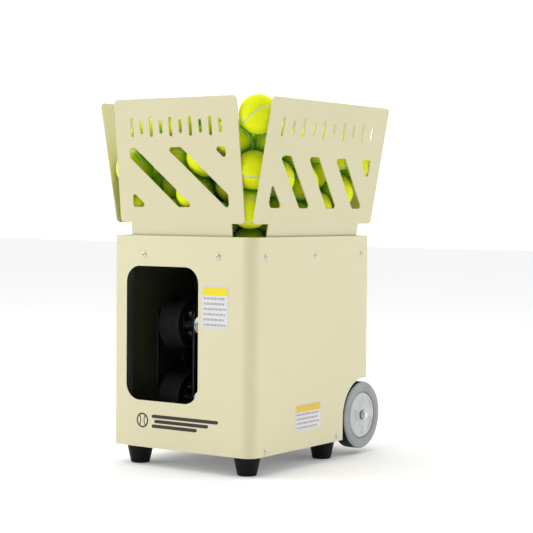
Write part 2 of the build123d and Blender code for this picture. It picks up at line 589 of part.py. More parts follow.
left_pin = rod("X", nip_at, trunnion_r, cradle_left - 3, head_x - cheek_half)
left_pin += rod("X", nip_at, 10, head_x - cheek_half - cheek_t - 5, head_x - cheek_half - cheek_t)
gear_x = (cradle_right - 11.0, cradle_right - 11.0 + gear_t)
right_pin = rod("X", nip_at, trunnion_r, head_x + cheek_half, cradle_right + cradle_t + 3)
right_pin += rod("X", nip_at, 10, motor_start, motor_start + 5)
save("head_trunnions", left_pin, right_pin)
swing = along_x(Pos(*nip_at) * gear_face(gear_teeth, 0), *gear_x)
swing -= rod("X", nip_at, trunnion_r, -half_w, half_w)
save("elevation_gear", swing)
pinion = along_x(Pos(*elevation_at) * gear_face(pinion_teeth, 180 + 180 / pinion_teeth), *gear_x)
pinion += rod("X", elevation_at, 3.0, gear_x[0], cradle_right + cradle_t + 12)
save("elevation_pinion", pinion)
lift_start = cradle_right + cradle_t
lift = rod("X", elevation_at, 15, lift_start, lift_start + 40)
lift = fillet(lift.edges().filter_by(GeomType.CIRCLE).sort_by(Axis.X)[-1], 2.5)
lift -= rod("X", elevation_at, 3.0 + run_gap, 0, lift_start + 13)
save("elevation_motor", lift)

motors = []
for at, name in ((upper_at, "upper"), (lower_at, "lower")):
    half = throw_w / 2
    edge, groove = throw_r, throw_r - throw_groove
    hub_outer = throw_r - 13
    section = Polygon((-half, hub_outer), (half, hub_outer), (half, edge), (-half, edge), align=None)
    bulge = (half ** 2 + throw_groove ** 2) / (2 * throw_groove)
    section -= Pos(0, groove + bulge) * Circle(bulge)
    tyre = Plane(origin=(head_x, at[0], at[1]), x_dir=(1, 0, 0), z_dir=(0, -1, 0)) * section
    axis = Axis((head_x, at[0], at[1]), (1, 0, 0))
    save(f"{name}_throwing_tyre", revolve(tyre, axis))
    hub = ring("X", at, hub_outer, hub_outer - 5, head_x - half, head_x + half)
    hub += ring("X", at, hub_outer - 4, shaft_r, head_x - 4, head_x + 4)
    hub += ring("X", at, 13, shaft_r, head_x - half - 4, head_x + half + 4)
    for n in range(6):
        angle = math.radians(60 * n)
        hole_at = (at[0] + 21 * math.cos(angle), at[1] + 21 * math.sin(angle))
        hub -= rod("X", hole_at, 5, head_x - 9, head_x + 9)
    shaft = rod("X", at, shaft_r, head_x - cheek_half - cheek_t - 1, motor_start + 20)
    save(f"{name}_throwing_hub", hub, shaft)
    case = rod("X", at, motor_r, motor_start, motor_start + motor_len)
    case = fillet(case.edges().filter_by(GeomType.CIRCLE).sort_by(Axis.X)[-1], 4)
    case -= rod("X", at, shaft_r + run_gap, motor_start - 1, motor_start + 21)
    motors.append(case)
save("throwing_motors", *motors)

trough_y = (yaw_y + 3.5, drop_y + 13)
trough_r = ball_r + 2.0
trough_at = (head_x, nip_z)
trough = ring("Y", trough_at, trough_r + 2, trough_r, *trough_y)
trough += rod("Y", trough_at, trough_r + 2, trough_y[1], trough_y[1] + 2)
trough &= block((-half_w, half_w), (-half_d, half_d), (0, nip_z))
for side in (-1, 1):
    lip = sorted((head_x + side * trough_r, head_x + side * cheek_half))
    trough += block(lip, (trough_y[0], cheek_y[1] - 1), (nip_z - 5, nip_z))
    wall = sorted((head_x + side * trough_r, head_x + side * (trough_r + 2)))
    trough += block(wall, trough_y, (nip_z, nip_z + 14))
end_y = (trough_y[1], trough_y[1] + 2)
trough += block((head_x - trough_r - 2, head_x + trough_r + 2), end_y, (nip_z, nip_z + 14))
save("ball_trough", trough)

# ---------------------------------------------------------------- battery and electronics
battery_x, battery_y = (8.0, 98.0), (68.0, 146.0)
battery_top = tray_top + 96.0
battery = fillet(block(battery_x, battery_y, (tray_top, battery_top)).edges().filter_by(Axis.Z), 4)
terminals = [block((x, x + 7), (battery_y[1] - 22, battery_y[1] - 16), (battery_top, battery_top + 8))
             for x in (battery_x[0] + 12, battery_x[1] - 19)]
strap_z = (tray_top, battery_top + 2)
strap_y = (battery_y[0] + 22, battery_y[0] + 44)
strap = block((battery_x[0] - 2, battery_x[1] + 2), strap_y, strap_z)
strap -= block(battery_x, battery_y, (0, battery_top))
for edge in ((battery_x[0] - 12, battery_x[0] - 2), (battery_x[1] + 2, battery_x[1] + 12)):
    strap += block(edge, strap_y, (tray_top, tray_top + 2))
save("battery", battery, strap, *terminals)

board_y = inner_d - 16
board_z = (control_z - 45, control_z + 45)
board = block((-50, 50), (board_y - 1.6, board_y), board_z)
save("control_board", board)
peg_places = [(x, z) for x in (-44, 44) for z in (board_z[0] + 5, board_z[1] - 5)]
pegs = [rod("Y", place, 3, board_y, inner_d - 2.6) for place in peg_places]
chips = [block((-40, -22), (board_y - 6.6, board_y - 1.6), (control_z - 10, control_z + 8)),
         block((-12, -2), (board_y - 4.6, board_y - 1.6), (control_z - 30, control_z - 12)),
         block((8, 38), (board_y - 15.6, board_y - 1.6), (control_z + 12, control_z + 34)),
         rod("Y", (20, control_z - 20), 6, board_y - 17.6, board_y - 1.6),
         rod("Y", (36, control_z - 20), 6, board_y - 17.6, board_y - 1.6)]
save("board_components", *chips, *pegs)

# ---------------------------------------------------------------- control panel on the rear
face_y = half_d + 4.0
panel = along_y(rounded((-control_w / 2, control_w / 2), (control_z - control_h / 2, control_z + control_h / 2), 6),
                half_d, face_y)
panel += block((-control_hole[0] + 0.5, control_hole[0] - 0.5), (inner_d - 2.6, half_d),
               (control_z - control_hole[1] + 0.5, control_z + control_hole[1] - 0.5))
display_x, display_z = (-52.0, 8.0), (control_z + 6, control_z + 32)
panel -= block(display_x, (face_y - 1.5, face_y + 1), display_z)
save("display_window", block(display_x, (face_y - 1.5, face_y + 0.3), display_z))
button_r, button_travel, button_play = 5.5, 1.4, 0.25
buttons = {f"button_{n + 1}": (-46.0 + 16.0 * n, control_z - 22.0) for n in range(4)}
for node, at in buttons.items():
    panel -= rod("Y", at, button_r + button_play, inner_d - 9, face_y + 1)
    key = rod("Y", at, button_r, inner_d - 2.0, face_y + 2.2)
    key = fillet(key.edges().filter_by(GeomType.CIRCLE).sort_by(Axis.Y)[-1], 0.8)
    key += rod("Y", at, 2.5, board_y + 2.0, inner_d - 2.0)
    save(node, key)
switch_at = (half_d - 1.0, control_z + 12.0)
switch_x = (26.0, 46.0)
switch_hole_x, switch_hole_z = (switch_x[0] - 0.4, switch_x[1] + 0.4), (switch_at[1] - 12, switch_at[1] + 12)
panel -= block(switch_hole_x, (inner_d - 9, face_y + 1), switch_hole_z)
rocker = along_x(Pos(switch_at[0], switch_at[1]) * Circle(11) &
                 Pos(switch_at[0] + 6, switch_at[1]) * Rectangle(12, 21), *switch_x)
save("power_switch", rocker)
socket_at = (40.0, control_z - 22.0)
panel -= rod("Y", socket_at, 6.0, inner_d - 9, face_y + 1)
save("charging_socket", ring("Y", socket_at, 6.0, 3.0, inner_d - 10, face_y + 0.5) +
     ring("Y", socket_at, 8.0, 3.0, face_y, face_y + 1.2) +
     rod("Y", socket_at, 6.0, inner_d - 12, inner_d - 9) + rod("Y", socket_at, 1.0, inner_d - 10, face_y - 1))
save("control_panel", panel)

# ---------------------------------------------------------------- pull handle
outer_z, middle_top, grip_z = (floor_z + 17, floor_z + 322), floor_z + 326, (floor_z + 336, floor_z + 362)
tube_sets = {"handle_outer_tubes": (outer_tube_r, middle_tube_r + 0.5, *outer_z),
             "handle_middle_tubes": (middle_tube_r, inner_rod_r + 0.5, outer_z[0] + 4, middle_top)}
for node, (outer, inner, low, high) in tube_sets.items():
    save(node, *[ring("Z", (side * handle_x, handle_y), outer, inner, low, high) for side in (-1, 1)])
brackets = []
for z in ((outer_z[0], outer_z[0] + 22), (outer_z[1] - 22, outer_z[1])):
    bar = block((-handle_x - 18, handle_x + 18), (half_d, half_d + 12), z)
    for side in (-1, 1):
        bar += block((side * handle_x - 14, side * handle_x + 14), (half_d, handle_y), z)
        bar += rod("Z", (side * handle_x, handle_y), 16, *z)
    for side in (-1, 1):
        bar -= rod("Z", (side * handle_x, handle_y), outer_tube_r, 0, top_z)
    brackets.append(bar)
save("handle_brackets", *brackets)
rods = [rod("Z", (side * handle_x, handle_y), inner_rod_r, outer_z[0] + 8, grip_z[0] + 8) for side in (-1, 1)]
save("handle_inner_rods", *rods)
grip_y = (handle_y - 12.0, handle_y + 12.0)
grip = fillet(block((-handle_x - 14, handle_x + 14), grip_y, grip_z).edges().filter_by(Axis.X), 9)
grip = fillet(grip.faces().sort_by(Axis.X)[-1].edges() + grip.faces().sort_by(Axis.X)[0].edges(), 3)
for side in (-1, 1):
    grip -= rod("Z", (side * handle_x, handle_y), inner_rod_r, 0, grip_z[0] + 8)
key_x, key_y = (-16.0, 16.0), (handle_y - 5.0, handle_y + 5.0)
recess_x, recess_y = (key_x[0] - 0.4, key_x[1] + 0.4), (key_y[0] - 0.4, key_y[1] + 0.4)
grip -= block(recess_x, recess_y, (grip_z[1] - 10, grip_z[1] + 9))
save("handle_grip", grip)
save("handle_button", block(key_x, key_y, (grip_z[1] - 6, grip_z[1] + 2.5)))

# ---------------------------------------------------------------- plain notice plates
notice_t = 0.4
front_notice = rounded((half_w - 105.3, half_w - 50.4), (floor_z + 214.0, floor_z + 286.7), 1.5)
side_notice = rounded((-half_d + 130.7, -half_d + 211.0), (floor_z + 31.0, floor_z + 79.0), 1.5)
save("notice_plates", along_y(front_notice, -half_d - notice_t, -half_d),
     along_x(side_notice, half_w, half_w + notice_t))
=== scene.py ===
"""Looks of a portable tennis ball machine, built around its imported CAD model.

The machine stands on z = 0 with its front towards -Y, and all lengths are in metres.
"""
import math
import random

import bmesh
import bpy
import numpy as np
from mathutils import Matrix, Quaternion, Vector

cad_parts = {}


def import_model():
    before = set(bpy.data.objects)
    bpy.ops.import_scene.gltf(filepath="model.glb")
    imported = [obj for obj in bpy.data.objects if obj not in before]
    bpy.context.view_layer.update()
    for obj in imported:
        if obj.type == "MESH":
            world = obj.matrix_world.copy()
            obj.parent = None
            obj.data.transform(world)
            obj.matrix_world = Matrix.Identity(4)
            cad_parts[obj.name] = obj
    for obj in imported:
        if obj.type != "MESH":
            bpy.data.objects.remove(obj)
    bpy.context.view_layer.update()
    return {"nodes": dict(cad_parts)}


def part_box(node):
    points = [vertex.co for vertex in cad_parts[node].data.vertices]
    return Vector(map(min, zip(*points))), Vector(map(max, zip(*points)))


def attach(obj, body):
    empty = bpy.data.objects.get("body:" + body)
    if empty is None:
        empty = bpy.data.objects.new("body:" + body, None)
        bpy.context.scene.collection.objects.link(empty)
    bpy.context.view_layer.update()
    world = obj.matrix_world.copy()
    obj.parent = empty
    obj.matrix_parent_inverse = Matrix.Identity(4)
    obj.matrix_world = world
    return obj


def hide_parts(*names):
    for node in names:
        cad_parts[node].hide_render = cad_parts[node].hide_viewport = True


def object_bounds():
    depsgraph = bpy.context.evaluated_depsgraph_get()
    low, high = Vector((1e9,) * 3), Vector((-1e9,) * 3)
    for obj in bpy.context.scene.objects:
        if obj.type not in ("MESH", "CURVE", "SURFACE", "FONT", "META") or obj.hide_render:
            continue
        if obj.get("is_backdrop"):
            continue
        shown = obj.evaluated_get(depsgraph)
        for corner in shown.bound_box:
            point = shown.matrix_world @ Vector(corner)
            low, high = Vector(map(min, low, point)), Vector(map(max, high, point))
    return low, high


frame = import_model()
nodes = frame["nodes"]
scene = bpy.context.scene
MM = 0.001


# ---------------------------------------------------------------- camera and studio
CAMERA_PLACE = (1.6409, -2.2881, 0.4507)
CAMERA_TURN, CAMERA_DIP, CAMERA_ROLL = 0.60820, 0.036898, 0.0080778
CAMERA_LENS, SENSOR, FAR_CLIP = 105.28, 36.0, 60


def camera():
    """The photograph's viewpoint; turn is about the vertical, dip is downwards, roll is about the view."""
    sin_t, cos_t = math.sin(CAMERA_TURN), math.cos(CAMERA_TURN)
    flat = math.cos(CAMERA_DIP)
    ahead = Vector((-sin_t * flat, cos_t * flat, -math.sin(CAMERA_DIP)))
    level = Vector((cos_t, sin_t, 0))
    down = ahead.cross(level)
    right = level * math.cos(CAMERA_ROLL) - down * math.sin(CAMERA_ROLL)
    below = level * math.sin(CAMERA_ROLL) + down * math.cos(CAMERA_ROLL)
    data = bpy.data.cameras.new("camera")
    data.lens, data.sensor_width, data.clip_end = CAMERA_LENS, SENSOR, FAR_CLIP
    made = bpy.data.objects.new("camera", data)
    scene.collection.objects.link(made)
    turn = Matrix((right, -below, -ahead)).transposed().to_4x4()
    made.matrix_world = Matrix.Translation(CAMERA_PLACE) @ turn
    scene.camera = made


def softbox(name, place, aim, side, power):
    data = bpy.data.lights.new(name, "AREA")
    data.shape, data.size, data.energy = "SQUARE", side, power
    lamp = bpy.data.objects.new(name, data)
    scene.collection.objects.link(lamp)
    way = Vector(aim) - Vector(place)
    lamp.matrix_world = Matrix.Translation(place) @ way.to_track_quat("-Z", "Y").to_matrix().to_4x4()


# ---------------------------------------------------------------- materials
class Finish:
    """A node material: one Principled shader, with constants on its sockets and nodes for the rest."""

    def __init__(self, name, **constants):
        self.material = bpy.data.materials.new(name)
        self.material.use_nodes = True
        self.tree = self.material.node_tree
        self.shader = self.tree.nodes["Principled BSDF"]
        for socket, value in constants.items():
            self.shader.inputs[socket.replace("_", " ")].default_value = value
        self.place = self.node("ShaderNodeTexCoord").outputs["Object"]

    def node(self, kind, **settings):
        made = self.tree.nodes.new(kind)
        for key, value in settings.items():
            setattr(made, key, value)
        return made

    def feed(self, node, **sockets):
        """Set or link inputs, named by their name or by i and their number, and give the first output."""
        for key, value in sockets.items():
            socket = node.inputs[int(key[1:])] if key[0] == "i" and key[1:].isdigit() else node.inputs[key]
            if isinstance(value, bpy.types.NodeSocket):
                self.tree.links.new(value, socket)
            else:
                socket.default_value = value
        return node.outputs[0]

    def math(self, operation, a, b=0.0, clamp=False):
        return self.feed(self.node("ShaderNodeMath", operation=operation, use_clamp=clamp), i0=a, i1=b)

    def noise(self, scale, detail=3.0, rough=0.5, stretch=None):
        made = self.node("ShaderNodeTexNoise")
        place = self.place
        if stretch:
            place = self.feed(self.node("ShaderNodeVectorMath", operation="MULTIPLY"), i0=place, i1=stretch)
        return self.feed(made, Vector=place, Scale=scale, Detail=detail, Roughness=rough)

    def between(self, value, low, high, to_low=0.0, to_high=1.0):
        made = self.node("ShaderNodeMapRange")
        return self.feed(made, i0=value, i1=low, i2=high, i3=to_low, i4=to_high)

    def mix(self, factor, first, second, blend="MIX"):
        made = self.node("ShaderNodeMix", data_type="RGBA", blend_type=blend)
        made.inputs[0].default_value = 0.5
        for socket, value in ((0, factor), (6, first), (7, second)):
            if isinstance(value, bpy.types.NodeSocket):
                self.tree.links.new(value, made.inputs[socket])
            else:
                made.inputs[socket].default_value = value if socket == 0 else (*value, 1)
        return made.outputs[2]

    def colour(self, value):
        self.tree.links.new(value, self.shader.inputs["Base Color"])

    def rough(self, value, low, high):
        self.tree.links.new(self.between(value, 0.3, 0.7, low, high), self.shader.inputs["Roughness"])

    def bump(self, height, strength, depth, under=None):
        made = self.node("ShaderNodeBump")
        made.inputs["Strength"].default_value = strength
        made.inputs["Distance"].default_value = depth
        self.tree.links.new(height, made.inputs["Height"])
        if under:
            self.tree.links.new(under, made.inputs["Normal"])
        self.tree.links.new(made.outputs["Normal"], self.shader.inputs["Normal"])
        return made.outputs["Normal"]


def mottled(name, dark, light, rough=(0.4, 0.5), grain=900, depth=0.00005,
            strength=0.3, patch=14, **constants):
    """A finish of two near tones in soft patches, with a fine grain in its gloss and surface."""
    made = Finish(name, **constants)
    patches = made.between(made.noise(patch, 4, 0.6), 0.35, 0.65)
    specks = made.noise(grain * 0.35, 4, 0.6)
    share = made.math("MULTIPLY", patches, made.between(specks, 0.3, 0.7, 0.5, 1.0))
    made.colour(made.mix(share, dark, light))
    made.rough(made.noise(patch * 6, 5, 0.6), *rough)
    made.bump(made.noise(grain, 3, 0.55), strength, depth)
    return made.material


def brushed(name, dark, light, along, rough=(0.25, 0.4), depth=0.00002):
    """Metal with fine lines that run along one axis."""
    made = Finish(name, Metallic=1.0)
    stretch = tuple(0.03 if axis == along else 1.0 for axis in "XYZ")
    lines = made.noise(1800, 4, 0.7, stretch)
    patches = made.noise(22, 3)
    shade = made.math("MULTIPLY", lines, made.between(patches, 0.3, 0.7, 0.8, 1.2), True)
    made.colour(made.mix(shade, dark, light))
    made.rough(lines, *rough)
    made.bump(lines, 0.25, depth)
    return made.material


cabinet_low, cabinet_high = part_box("front_right_wrap")
BODY_X, BODY_Y = cabinet_high.x, -cabinet_low.y
BEND_R = 22 * MM            # outer radius of the cabinet's bends
INSIDE_SHADE_START = 0.9 * MM      # the painted shade inside the cabinet starts this deep in the sheet
INSIDE_SHADE_FADE = 0.1 * MM
# painted shade: dark olive that stands in for the shade on the inner side of the cabinet's sheet
INSIDE_SHADE_COLOUR = (0.055, 0.062, 0.032)
NO_LIMIT_Z = 10             # keeps the height out of the distance


def inside_of_cabinet(made):
    """1 on the inner side of the cabinet's sheet, 0 on its outer side; the mask of the painted shade inside
    the cabinet.
    """
    far = made.feed(made.node("ShaderNodeVectorMath", operation="ABSOLUTE"), i0=made.place)
    core = (BODY_X - BEND_R, BODY_Y - BEND_R, NO_LIMIT_Z)
    far = made.feed(made.node("ShaderNodeVectorMath", operation="SUBTRACT"), i0=far, i1=core)
    far = made.feed(made.node("ShaderNodeVectorMath", operation="MAXIMUM"), i0=far, i1=(0, 0, 0))
    length = made.node("ShaderNodeVectorMath", operation="LENGTH")
    made.feed(length, i0=far)
    start = BEND_R - INSIDE_SHADE_START
    return made.between(length.outputs["Value"], start, start + INSIDE_SHADE_FADE, 1.0, 0.0)


def powder_coat(name, tone, shade, shade_inside=False):
    """Satin powder coat with soft tone changes, orange peel and specks; when asked, the inner side of the
    cabinet's sheet gets a dark painted shade.
    """
    made = Finish(name, Coat_Weight=0.12, Coat_Roughness=0.35)
    soft = made.between(made.noise(5, 4, 0.55), 0.3, 0.7)
    colour = made.mix(soft, shade, tone)
    specks = made.between(made.noise(420, 2, 0.5), 0.70, 0.78)
    colour = made.mix(made.math("MULTIPLY", specks, 0.18), colour, tuple(0.72 * c for c in tone))
    scuffs = made.between(made.noise(60, 6, 0.7, (1, 1, 0.25)), 0.66, 0.74)
    colour = made.mix(made.math("MULTIPLY", scuffs, 0.10), colour, tuple(min(1, 1.12 * c) for c in tone))
    if shade_inside:
        # painted shade: the sheet's inner side is painted dark olive to stand in for the shade inside the
        # cabinet
        colour = made.mix(inside_of_cabinet(made), colour, INSIDE_SHADE_COLOUR)
    made.colour(colour)
    made.rough(made.noise(35, 5, 0.6), 0.40, 0.52)
    peel = made.bump(made.noise(520, 2, 0.5), 0.20, 0.00006)
    made.bump(made.noise(2600, 2, 0.6), 0.12, 0.00002, peel)
    return made.material


SEAM_K = 0.19245            # the seam is where x y = SEAM_K z^3 on the unit ball
BALL_R = 33.5 * MM
SEAM_HALF = 1.35 * MM
SEAM_FRAY = 0.35
FELT_DEEP, FELT_BRIGHT = (0.66, 0.80, 0.0), (0.95, 0.99, 0.005)
FELT_PALE, FELT_WORN = (0.97, 0.99, 0.06), (0.78, 0.88, 0.01)
# painted shade: the deep green that the felt takes where neighbouring balls would shade it
FELT_SHADED = (0.30, 0.66, 0.0)
SEAM_COLOUR = (0.66, 0.74, 0.52)


def ball_felt():
    """Fluffy felt with a tennis ball's smooth pale seam, with painted shade, darker and greener, where other
    balls are close.
    """
    made = Finish("ball_felt", Sheen_Weight=0.12, Sheen_Roughness=0.6, Specular_IOR_Level=0.1)
    made.shader.inputs["Sheen Tint"].default_value = (0.85, 1.0, 0.2, 1)
    local = made.node("ShaderNodeAttribute", attribute_name="seam_frame").outputs["Vector"]
    unit = made.feed(made.node("ShaderNodeVectorMath", operation="NORMALIZE"), i0=local)
    split = made.node("ShaderNodeSeparateXYZ")
    made.feed(split, i0=unit)
    x, y, z = split.outputs
    z_two = made.math("MULTIPLY", z, z)
    field = made.math("SUBTRACT", made.math("MULTIPLY", x, y),
                      made.math("MULTIPLY", made.math("MULTIPLY", z_two, z), SEAM_K))
    steep = made.math("ADD", made.math("MULTIPLY", x, x), made.math("MULTIPLY", y, y))
    z_four = made.math("MULTIPLY", z_two, z_two)
    steep = made.math("ADD", steep, made.math("MULTIPLY", z_four, 9 * SEAM_K ** 2))
    gap = made.math("DIVIDE", made.math("ABSOLUTE", field), made.math("SQRT", steep))
    fray = made.between(made.noise(900, 3), 0.3, 0.7, -SEAM_FRAY, SEAM_FRAY)
    frayed = made.math("MULTIPLY", fray, MM / BALL_R)
    seam = made.between(made.math("ADD", gap, frayed), SEAM_HALF / BALL_R, 0.8 * SEAM_HALF / BALL_R)
    fibres = made.noise(750, 8, 0.75)
    tufts = made.noise(170, 4, 0.6)
    tone = made.node("ShaderNodeAttribute", attribute_name="ball_tone").outputs["Fac"]
    felt = made.mix(made.between(fibres, 0.32, 0.66), FELT_DEEP, FELT_BRIGHT)
    felt = made.mix(made.between(tufts, 0.35, 0.7, 0.0, 0.35), felt, FELT_PALE)
    felt = made.mix(made.math("MULTIPLY", tone, 0.30), felt, FELT_WORN)
    # painted shade: the felt is mixed towards a darker green where other balls crowd it
    painted_crevice_shade = made.node("ShaderNodeAttribute", attribute_name="painted_crevice_shade").outputs["Fac"]
    felt = made.mix(painted_crevice_shade, felt, FELT_SHADED)
    made.colour(made.mix(seam, felt, SEAM_COLOUR))
    made.tree.links.new(made.between(seam, 0, 1, 0.92, 0.55), made.shader.inputs["Roughness"])
    height = made.math("ADD", fibres, made.math("MULTIPLY", tufts, 1.6))
    height = made.math("MULTIPLY", height, made.between(seam, 0, 1, 1.0, 0.1))
    made.bump(height, 0.8, 0.0007)
    return made.material


# ---------------------------------------------------------------- mesh helpers
def piece(name, verts, faces, body, finish, smooth=None):
    """A mesh piece that rides on a body; edges up to smooth degrees shade as one surface."""
    mesh = bpy.data.meshes.new(name)
    mesh.from_pydata([tuple(v) for v in verts], [], faces)
    mesh.materials.append(finish)
    work = bmesh.new()
    work.from_mesh(mesh)
    bmesh.ops.recalc_face_normals(work, faces=work.faces)
    work.to_mesh(mesh)
    work.free()
    made = bpy.data.objects.new(name, mesh)
    scene.collection.objects.link(made)
    if smooth:
        mesh.shade_smooth()
        mesh.set_sharp_from_angle(angle=math.radians(smooth))
    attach(made, body)
    return made


PLATE_SINK = 0.02 * MM
CORNER_STEPS = 5


class Plates:
    """Thin raised shapes on one flat face: origin and two axes in the face, and the outward direction."""

    def __init__(self, origin, across, up, out):
        self.origin, self.across, self.up, self.out = map(Vector, (origin, across, up, out))
        self.verts, self.faces = [], []

    def outline(self, points, thick):
        """A plate with this outline, which starts a little below the face."""
        count, start = len(points), len(self.verts)
        for level in (-PLATE_SINK, thick):
            for u, v in points:
                self.verts.append(self.origin + self.across * u + self.up * v + self.out * level)
        self.faces.append([start + i for i in range(count)])
        self.faces.append([start + count + i for i in range(count)])
        for i in range(count):
            j = (i + 1) % count
            self.faces.append([start + i, start + j, start + count + j, start + count + i])

    def bar(self, left, right, low, high, thick, radius=0.0, lean=0.0):
        """A rectangle with rounded corners that leans sideways by lean for each unit of height."""
        radius = min(radius, (right - left) / 2, (high - low) / 2)
        points = []
        for cx, cy, first in ((right, high, 0), (left, high, 90), (left, low, 180), (right, low, 270)):
            cx += -radius if cx == right else radius
            cy += -radius if cy == high else radius
            steps = CORNER_STEPS if radius else 0
            for k in range(steps + 1):
                turn = math.radians(first + (90 * k / steps if steps else 45))
                points.append((cx + radius * math.cos(turn), cy + radius * math.sin(turn)))
        self.outline([(u + lean * (v - low), v) for u, v in points], thick)

    def ring(self, centre, outer, inner, first, last, thick, steps):
        """Part of a ring from the first to the last angle, in degrees."""
        turns = [math.radians(first + (last - first) * k / steps) for k in range(steps + 1)]
        cx, cy = centre
        edge = [(cx + outer * math.cos(t), cy + outer * math.sin(t)) for t in turns]
        edge += [(cx + inner * math.cos(t), cy + inner * math.sin(t)) for t in reversed(turns)]
        self.outline(edge, thick)

    def save(self, name, body, slot, finish):
        return piece(name, self.verts, self.faces, body, finish)


# ---------------------------------------------------------------- finishes
cream_wrap = powder_coat("cream_paint_cabinet", (0.768, 0.720, 0.470), (0.744, 0.696, 0.451), shade_inside=True)
cream_plate = powder_coat("cream_paint_plates", (0.716, 0.671, 0.430), (0.693, 0.648, 0.412))
black_plastic = mottled("black_plastic", (0.010, 0.010, 0.010), (0.020, 0.020, 0.021),
                        (0.38, 0.55), 1400, 0.00006)
pit_black = mottled("matt_black_plastic", (0.006, 0.006, 0.005), (0.012, 0.012, 0.010),
                    (0.55, 0.7), 1400, 0.00006)
foot_rubber = mottled("foot_rubber", (0.002, 0.003, 0.005), (0.006, 0.008, 0.012),
                      (0.45, 0.65), 700, 0.0001, 0.5, Specular_IOR_Level=0.14)
tread_rubber = mottled("tread_rubber", (0.004, 0.005, 0.006), (0.012, 0.013, 0.015),
                       (0.45, 0.65), 500, 0.0002, 0.6, Specular_IOR_Level=0.25)
grip_rubber = mottled("grip_rubber", (0.010, 0.010, 0.010), (0.026, 0.026, 0.026),
                      (0.6, 0.8), 1100, 0.00015, 0.8)
throw_rubber = mottled("throw_rubber", (0.004, 0.004, 0.004), (0.010, 0.010, 0.010),
                       (0.6, 0.85), 800, 0.0002, 0.8, Specular_IOR_Level=0.15)
wheel_grey = mottled("wheel_grey", (0.54, 0.565, 0.56), (0.64, 0.665, 0.655),
                     (0.34, 0.46), 900, 0.00004, 0.25, 20)
wheel_rim_grey = mottled("wheel_rim_grey", (0.30, 0.315, 0.325), (0.37, 0.385, 0.395),
                         (0.36, 0.5), 900, 0.00005, 0.3, 20)
black_steel = mottled("black_steel", (0.006, 0.006, 0.006), (0.014, 0.014, 0.014),
                      (0.4, 0.55), 1600, 0.00004, 0.4, Specular_IOR_Level=0.3)
key_plastic = mottled("key_plastic", (0.50, 0.51, 0.52), (0.58, 0.59, 0.60), (0.4, 0.5), 1500, 0.00003)
red_plastic = mottled("red_plastic", (0.42, 0.012, 0.010), (0.52, 0.020, 0.015), (0.25, 0.35), 1200, 0.00003,
                      Coat_Weight=0.3)
board_green = mottled("board_green", (0.006, 0.075, 0.030), (0.012, 0.110, 0.045), (0.2, 0.35), 700, 0.00005,
                      Coat_Weight=0.5)
battery_case = mottled("battery_case", (0.012, 0.022, 0.050), (0.022, 0.036, 0.075),
                       (0.3, 0.45), 1300, 0.00004)
notice_film = mottled("notice_film", (0.72, 0.72, 0.72), (0.80, 0.80, 0.80), (0.35, 0.5), 700, 0.00002, 0.2)
notice_yellow = mottled("notice_yellow", (0.86, 0.72, 0.010), (0.93, 0.80, 0.020),
                        (0.35, 0.5), 700, 0.00002, 0.2)
notice_amber = mottled("notice_amber", (0.80, 0.52, 0.030), (0.87, 0.60, 0.045),
                       (0.35, 0.5), 700, 0.00002, 0.2)
notice_ink = mottled("notice_ink", (0.36, 0.35, 0.36), (0.50, 0.49, 0.50), (0.4, 0.55), 900, 0.00002, 0.2)
print_ink = mottled("print_ink", (0.016, 0.013, 0.010), (0.028, 0.023, 0.018), (0.35, 0.5), 900, 0.00002, 0.2)
print_white = mottled("print_white", (0.62, 0.63, 0.63), (0.70, 0.71, 0.71), (0.4, 0.5), 900, 0.00002, 0.2)
display_lit = mottled("display_lit", (0.10, 0.60, 0.30), (0.16, 0.75, 0.40), (0.3, 0.4), 900, 0.00002, 0.2,
                      Emission_Color=(0.15, 0.9, 0.45, 1), Emission_Strength=0.8)
screen = mottled("screen", (0.004, 0.006, 0.008), (0.008, 0.010, 0.014), (0.06, 0.12), 900, 0.00001, 0.1,
                 Coat_Weight=1.0, Coat_Roughness=0.05)
zinc = brushed("zinc_steel", (0.42, 0.42, 0.40), (0.62, 0.62, 0.60), "X", (0.3, 0.5))
screw_steel = brushed("screw_steel", (0.58, 0.58, 0.58), (0.80, 0.80, 0.80), "X", (0.16, 0.28))
motor_steel = brushed("motor_steel", (0.16, 0.17, 0.19), (0.34, 0.35, 0.38), "X", (0.12, 0.28))
aluminium = brushed("aluminium", (0.60, 0.61, 0.62), (0.76, 0.77, 0.78), "Z", (0.25, 0.38))
hub_aluminium = brushed("hub_aluminium", (0.45, 0.46, 0.47), (0.66, 0.67, 0.68), "X", (0.2, 0.35))

